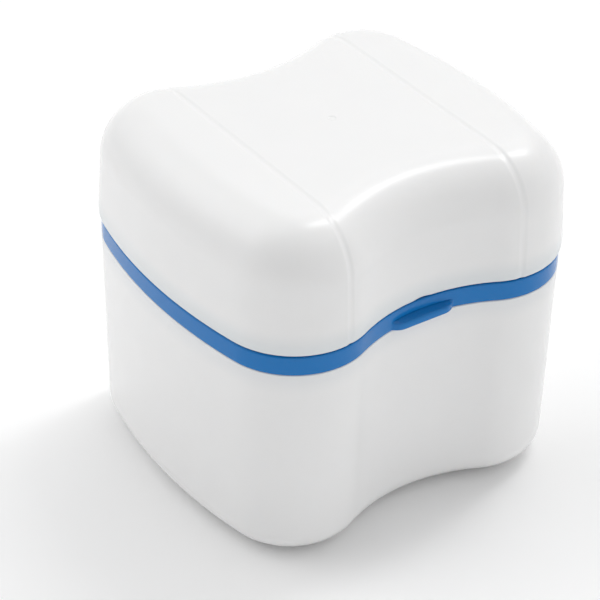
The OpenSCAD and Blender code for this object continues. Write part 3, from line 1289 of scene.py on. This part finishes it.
@dataclass
class Lid(Piece):
    """White domed lid with two moulded grooves, a fingernail nick, a gate mark and a hinge leaf.

    Attributes:
        edge_r: Radius of the top edge.
        draft: Inward lean of the wall.
        flat: How far the smooth top reaches in past the rounded edge before it is closed by strips.
        groove_x: Distance of the grooves from the middle.
        groove_w: Width of the grooves.
        groove_depth: Depth of the grooves.
        nick_w: Width of the nick.
        nick_h: Height of the nick.
        nick_fade: Height where the nick has faded out.
        gate_d: Diameter of the gate mark.
        gate_depth: Depth of the gate mark.
        leaf_h: Height of the hinge leaf.
        pin_gap: Play of the pin in the lid's knuckle.
        low_r: Radius of the lower outer edge.
        curl_h: Height where the wall begins to turn in towards that edge.
        curl_in: How fast it turns in, in millimetres for each square millimetre.
        lead_in: Size of the slope inside the lower edge.
        rest_t: Thickness of the inner ledge at its edge.
        rest_h: Height of the inner ledge where it runs out into the wall.
        sharp: Edges that turn by more than this angle stay sharp, in degrees.
    """

    body: Body = Body.LID
    node: str = "lid_shell"
    slot: Slot = Slot.WHITE
    edge_r: float = 11.5
    draft: float = 0.8
    flat: float = 1.5
    groove_x: float = 21.0
    groove_w: float = 2.2
    groove_depth: float = 0.14
    nick_w: float = 5.0
    nick_h: float = 0.3
    nick_fade: float = 2.2
    gate_d: float = 1.8
    gate_depth: float = 0.1
    leaf_h: float = 6.5
    pin_gap: float = 0.16
    low_r: float = 0.5
    curl_h: float = 2.4
    curl_in: float = 0.05
    lead_in: float = 0.5
    rest_t: float = 1.2
    rest_h: float = 3.0
    sharp: float = 45.0

    @property
    def dome_z(self) -> float:
        """Height where the top edge begins to round over."""
        return self.sizes.lid_top - self.edge_r

    def out(self, z: float) -> float:
        """Offset of the outer wall at a height."""
        s = self.sizes
        return s.overhang - self.draft * (z - s.lid_z) / (self.dome_z - s.lid_z)

    def curled(self, height: float) -> float:
        """Offset of the outer wall at a height above the lower edge, where it turns in."""
        return self.out(self.sizes.lid_z + height) - self.curl_in * max(self.curl_h - height, 0.0) ** 2

    def fade(self, z: float) -> float:
        """Share of the nick at a height."""
        return max(0.0, 1 - (z - self.sizes.lid_z) / self.nick_fade) ** 2

    def outside(self) -> list[tuple[float, float, float, float]]:
        """Outer profile from the top to the lower edge.

        Returns:
            Offset and height of each point, and the level and upright share of its outward direction.
        """
        s, r = self.sizes, self.edge_r
        beside = 0.2  # how far above and below the curl's upper end the nearest points lie
        o = self.out(self.dome_z) - r
        ways = [(math.cos(a), math.sin(a)) for a in np.radians(np.linspace(90, 0, 27))]
        top = [(o - self.flat, s.lid_top, 0.0, 1.0)]
        top += [(o + r * level, self.dome_z + r * upright, level, upright) for level, upright in ways]
        plain = np.linspace(self.dome_z - 0.5, s.lid_z + self.curl_h + beside, 5)
        wall = [(self.out(z), z) for z in plain]
        wall += [(self.curled(h), s.lid_z + h) for h in np.linspace(self.curl_h - beside, self.low_r, 7)]
        wall += arc(self.curled(self.low_r) - self.low_r, s.lid_z + self.low_r, self.low_r, 0, -90, 7)[1:]
        return top + [(*p, 1.0, 0.0) for p in wall]

    def inside(self) -> list[Point]:
        """Inner profile from the lower edge to the ceiling.

        Returns:
            Profile points.
        """
        s = self.sizes
        inner_r = self.edge_r - s.lid_wall
        o = self.out(self.dome_z) - self.edge_r
        mouth = s.overhang - s.lid_wall + self.lead_in
        slope, above = s.lid_z + self.lead_in, s.rest_z + self.rest_h
        wall = rounded([
            (mouth + 0.2, s.lid_z, 0),
            (mouth, s.lid_z, 0.1),
            (self.out(slope) - s.lid_wall, slope, 0.2),
            (self.out(s.rest_z) - s.lid_wall, s.rest_z, 0.15),
            (s.collar_in, s.rest_z, 0.2),
            (s.collar_in, s.rest_z + self.rest_t, 0.4),
            (self.out(above) - s.lid_wall, above, 0.6),
            (o + inner_r, self.dome_z, 0),
        ], 4)
        ceiling = arc(o, self.dome_z, inner_r, 0, 90, 16)
        return [*wall[:-1], *ceiling, (o - self.flat, s.lid_top - s.lid_wall)]

    def shell(self, grid: PlanGrid) -> MeshBuilder:
        """Builds the lid's shell with its grooves and nick.

        Args:
            grid: Fine plan grid.

        Returns:
            The builder that holds it.
        """
        x = np.abs(grid.column_x())
        across = np.minimum(np.abs(x - self.groove_x) / (self.groove_w / 2), 1)
        dip = self.groove_depth * (1 + np.cos(math.pi * across)) / 2
        reach = np.minimum(x / (self.nick_w / 2), 1)
        nick = np.where(grid.sy < 0, (1 - reach**2) ** 1.5, 0) * self.nick_h
        rings = []
        for o, z, level, upright in self.outside():
            rings.append(grid.ring(o - dip * level, z - dip * upright + nick * self.fade(z)))
        rings += [grid.ring(o, z + nick * self.fade(z)) for o, z in self.inside()]
        made = MeshBuilder()
        made.loft(grid, rings)
        return made

    def leaf(self) -> bpy.types.Object:
        """Builds the hinge leaf and its knuckle.

        Returns:
            Their object.
        """
        s = self.sizes
        r, y, z = s.knuckle_d / 2, s.hinge_y, s.hinge_z
        wall = s.outline.back_y + s.overhang - s.lid_wall / 2
        top, middle = s.lid_z + self.leaf_h, s.lid_z + self.leaf_h / 2
        foot, bend, head = np.array([(y + r, z), (y + r, middle), (wall + 0.6, top)])
        steps = np.linspace(0, 1, 15)
        curve = [tuple((1 - t) ** 2 * foot + 2 * t * (1 - t) * bend + t * t * head) for t in steps]
        back = [(wall, top), (wall, s.lid_z + 0.4), (y - r, s.lid_z - 0.4), (y - r, z)]
        made = MeshBuilder()
        made.bar_x(curve + back + arc(y, z, s.knuckle_in, 180, 0, 12), 0.0, s.lid_knuckle_w, edge=0.4)
        made.lathe_x(s.knuckle(0.0, s.lid_knuckle_w, s.pin_d + self.pin_gap), y, z)
        return made.object("leaf", self.sharp)

    def gate(self) -> bpy.types.Object:
        """Makes the cutter of the gate mark: a shallow dish with a raised middle.

        Returns:
            The cutter.
        """
        r, deep, top = self.gate_d / 2, self.gate_depth, self.sizes.lid_top
        dish = [(0.3, -0.55 * deep), (0.5, -deep), (0.8, -deep), (1.0, -0.2 * deep), (1.0, 0.5)]
        turn = np.linspace(0, 2 * math.pi, 32, endpoint=False)
        loops = []
        for share, z in dish:
            loop = [(share * r * math.cos(a), share * r * math.sin(a), top + z) for a in turn]
            loops.append(np.array(loop))
        made = MeshBuilder()
        made.skin(loops)
        return made.object("gate_mark")

    def build(self, grid: PlanGrid) -> bpy.types.Object:
        """Builds the lid.

        Args:
            grid: Fine plan grid.

        Returns:
            The lid's object.
        """
        lid = self.shell(grid).object("lid", self.sharp)
        carve(lid, self.gate(), self.sharp)
        join(lid, self.leaf())
        return lid


@dataclass
class Seal(Piece):
    """Silicone ring with rounded edges and a shallow pressing groove in its outer side.

    Attributes:
        name: Its name.
        faces: Inner and outer offset of the faces that it lies on.
        ends: Underside and top.
        margin: How far it stays inside those faces, and negative where it stands past them.
        edge_r: Radius of its edges.
        dent: Depth of the pressing groove.
    """

    name: str
    faces: Point
    ends: Point
    margin: float = 0.05
    edge_r: float = 0.2
    dent: float = 0.15

    def build(self, grid: PlanGrid) -> bpy.types.Object:
        """Builds the ring.

        Args:
            grid: Plain plan grid.

        Returns:
            The ring's object.
        """
        inner, outer = self.faces[0] + self.margin, self.faces[1] - self.margin
        low, high = self.ends
        mid, half = (low + high) / 2, 0.15 * (high - low)
        profile = rounded([
            (inner, low, self.edge_r),
            (inner, high, self.edge_r),
            (outer, high, self.edge_r),
            (outer, mid + half, 0.05),
            (outer - self.dent, mid, 0.05),
            (outer, mid - half, 0.05),
            (outer, low, self.edge_r),
        ], 3, closed=True)
        made = MeshBuilder()
        made.loft(grid, grid.rings(profile), closed=True)
        return made.object(self.name)

    @classmethod
    def pair(cls, s: Sizes) -> list["Seal"]:
        """Both rings.

        Args:
            s: Sizes that the pieces share.

        Returns:
            The ring on the tub's lip and the ring on the collar.
        """
        silicone = Slot.SILICONE
        lip, lip_ends = (s.lip_in, s.lip_out), (s.lip_z, s.ledge_z)
        collar, collar_ends = (s.collar_in, s.collar_out), (s.collar_z, s.rest_z)
        return [
            cls(s, Body.BASKET, "tub_seal", silicone, "lower_seal", lip, lip_ends),
            cls(s, Body.LID, "lid_seal", silicone, "upper_seal", collar, collar_ends, margin=-0.05),
        ]


@dataclass
class Pin(Piece):
    """Steel hinge pin with turned ends.

    Attributes:
        edge: Radius of its end edges.
        inset: How far its ends lie inside the outer knuckles.
        core: Radius of the fine hole that the lathe leaves along its axis.
    """

    body: Body = Body.BASKET
    node: str = "hinge_pin"
    slot: Slot = Slot.STEEL
    edge: float = 0.2
    inset: float = 0.2
    core: float = 0.05

    def build(self) -> bpy.types.Object:
        """Builds the pin.

        Returns:
            The pin's object.
        """
        s = self.sizes
        half = s.lid_knuckle_w / 2 + s.side_knuckle_w + s.knuckle_gap - self.inset
        r = s.pin_d / 2
        turned = (half - 0.3 * self.edge, r - 0.5 * self.edge)
        nose = [(half - self.edge, r), turned, (half, r - self.edge), (half, self.core)]
        made = MeshBuilder()
        made.lathe_x([(-x, p) for x, p in reversed(nose)] + nose, s.hinge_y, s.hinge_z, steps=28)
        return made.object("pin")


@dataclass(frozen=True)
class Glow:
    """A soft patch of the surround that is brighter or dimmer than the rest.

    Attributes:
        way: Direction of its middle.
        start: Cosine of the angle from the middle where it begins.
        level: Change of the light at its middle.
    """

    way: Triple
    start: float
    level: float

    def light(self, g: Graph, way: Value) -> Value:
        """Change of the light in each direction.

        Args:
            g: The world's graph.
            way: Direction of a ray.

        Returns:
            The change, which is zero outside the patch.
        """
        middle = Vector(self.way).normalized()
        toward = g.node("ShaderNodeVectorMath", {"operation": "DOT_PRODUCT"}, {0: way, 1: middle}, "Value")
        spread = {"Value": toward, "From Min": self.start, "From Max": 1.0, "To Max": self.level}
        return g.node("ShaderNodeMapRange", inputs=spread)


@dataclass(frozen=True)
class Lamp:
    """Soft rectangular light with its first side along X.

    Attributes:
        name: Its name.
        place: Its middle, in metres.
        aim: Point that it faces, in metres.
        size: Length along X and width across, in metres.
        watts: Power.
    """

    name: str
    place: Triple
    aim: Triple
    size: Point
    watts: float

    def build(self) -> None:
        """Adds the light."""
        data = bpy.data.lights.new(self.name, "AREA")
        data.shape = "RECTANGLE"
        data.energy = self.watts
        data.size, data.size_y = self.size
        back = (Vector(self.place) - Vector(self.aim)).normalized()
        across = back.cross(Vector((1, 0, 0))).normalized()
        turn = Matrix((across.cross(back), across, back)).transposed().to_4x4()
        link_object(self.name, data).matrix_world = Matrix.Translation(self.place) @ turn


@dataclass
class Studio:
    """Floor, lights and camera.

    Attributes:
        eye: Place of the camera.
        aim: Point that it looks at.
        roll: Turn about its own axis, in degrees.
        lens: Focal length.
        sensor: Width of the sensor.
        floor_half: Half of the floor's side, in metres.
        ambient: Level of the light from all round.
        glows: Brighter and dimmer patches of the surround.
        lamps: The lights.
    """

    eye: Triple = (-233.9, -324.88, 309.65)
    aim: Triple = (-7.343, -0.726, 35.865)
    roll: float = 1.303
    lens: float = 137.3
    sensor: float = 36.0
    floor_half: float = 3.0
    ambient: float = 0.785
    glows: tuple[Glow, ...] = (
        Glow((-0.45, -0.6, 0.66), 0.6, -0.88),  # dim, behind the camera
        Glow((0.0, -0.95, 0.3), 0.3, 0.6),  # bright, low in front of the case
        Glow((0.6, 0.3, 0.74), 0.88, 1.15),  # bright, round the strip
        Glow((-0.45, 0.67, 0.58), 0.88, 0.8),  # bright, behind the case on its left
        Glow((0.45, -0.75, 0.47), 0.85, -0.6),  # dim, in front of the case on its right
    )
    lamps: tuple[Lamp, ...] = (
        Lamp("panel", place=(-0.8, 0.8, 1.24), aim=(-0.8, 0.8, 0.0), size=(1.6, 1.6), watts=4.9),
        Lamp("strip", place=(0.64, 0.14, 1.075), aim=(0.0, 0.0, 0.07), size=(0.66, 0.16), watts=2.52),
    )

    def camera(self) -> None:
        """Places the camera at the photograph's viewing angle."""
        data = bpy.data.cameras.new("camera")
        data.lens, data.sensor_width = self.lens, self.sensor
        data.clip_start, data.clip_end = 0.01, 20.0
        cam = link_object("camera", data)
        eye, aim = Vector(self.eye) * MM, Vector(self.aim) * MM
        look = (aim - eye).to_track_quat("-Z", "Y").to_matrix().to_4x4()
        cam.matrix_world = Matrix.Translation(eye) @ look @ Matrix.Rotation(math.radians(self.roll), 4, "Z")
        bpy.context.scene.camera = cam

    def world(self) -> None:
        """Sets a pale surround with its brighter and dimmer patches."""
        made = bpy.data.worlds.new("surround")
        g = Graph(made)
        way = g.node("ShaderNodeTexCoord", output="Generated")
        level = self.ambient + sum(glow.light(g, way) for glow in self.glows)
        shade = g.node("ShaderNodeBackground", inputs={"Color": (1.0, 1.0, 1.0, 1.0), "Strength": level})
        g.node("ShaderNodeOutputWorld", inputs={"Surface": shade})
        bpy.context.scene.world = made

    def floor(self, finish: PaleFloor) -> None:
        """Lays the floor.

        Args:
            finish: Its finish.
        """
        half = self.floor_half
        mesh = bpy.data.meshes.new("floor")
        corners = [(-half, -half, 0), (half, -half, 0), (half, half, 0), (-half, half, 0)]
        mesh.from_pydata(corners, [], [(0, 1, 2, 3)])
        mesh.materials.append(finish.material())
        obj = link_object("floor", mesh)

    def build(self, finish: PaleFloor) -> None:
        """Sets up the whole studio.

        Args:
            finish: Finish of the floor.
        """
        bpy.context.scene.view_settings.view_transform = "Standard"
        self.camera()
        self.world()
        self.floor(finish)
        for lamp in self.lamps:
            lamp.build()


def main() -> None:
    """Builds every piece in order and sets up the studio."""
    logging.basicConfig(level=logging.INFO, format="%(name)s: %(message)s")
    s = Sizes()
    # painted shade: the tub and the lid turn darker and bluer beside the band, for the seam's shade and the
    # blue rim behind
    tub_white = ShadedThinShell("white_tub", veil_and_shade=(0.92, 0.935, 0.95), edge_z=s.band_z * MM, reach=-5.5 * MM)
    lid_white = ShadedThinShell("white_lid", veil_and_shade=(0.85, 0.885, 0.905), edge_z=s.lid_z * MM, reach=5.8 * MM)
    deep, pale = (0.001, 0.155, 0.46), (0.002, 0.178, 0.515)
    blue = MouldedPlastic("blue_moulded", deep, pale, gloss=0.15, spread=0.06, shine=0.36)
    tub, basket, lid, pin = Tub(s), Basket(s), Lid(s), Pin(s)
    fine = PlanGrid.fine(s.outline, lid.groove_x, lid.groove_w, basket.tab_w)
    plain = PlanGrid.plain(s.outline)
    pieces = [
        tub.dress(tub.build(plain), tub_white),
        basket.dress(basket.build(fine, plain), blue),
        lid.dress(lid.build(fine), lid_white),
        *(seal.dress(seal.build(plain), SoftSilicone()) for seal in Seal.pair(s)),
        pin.dress(pin.build(), DrawnSteel()),
    ]
    for obj in pieces:
        log.info("%s: %d faces in %s", obj.name, len(obj.data.polygons), obj.data.materials[0].name)
    Studio().build(PaleFloor())


if __name__ == "__main__":
    main()
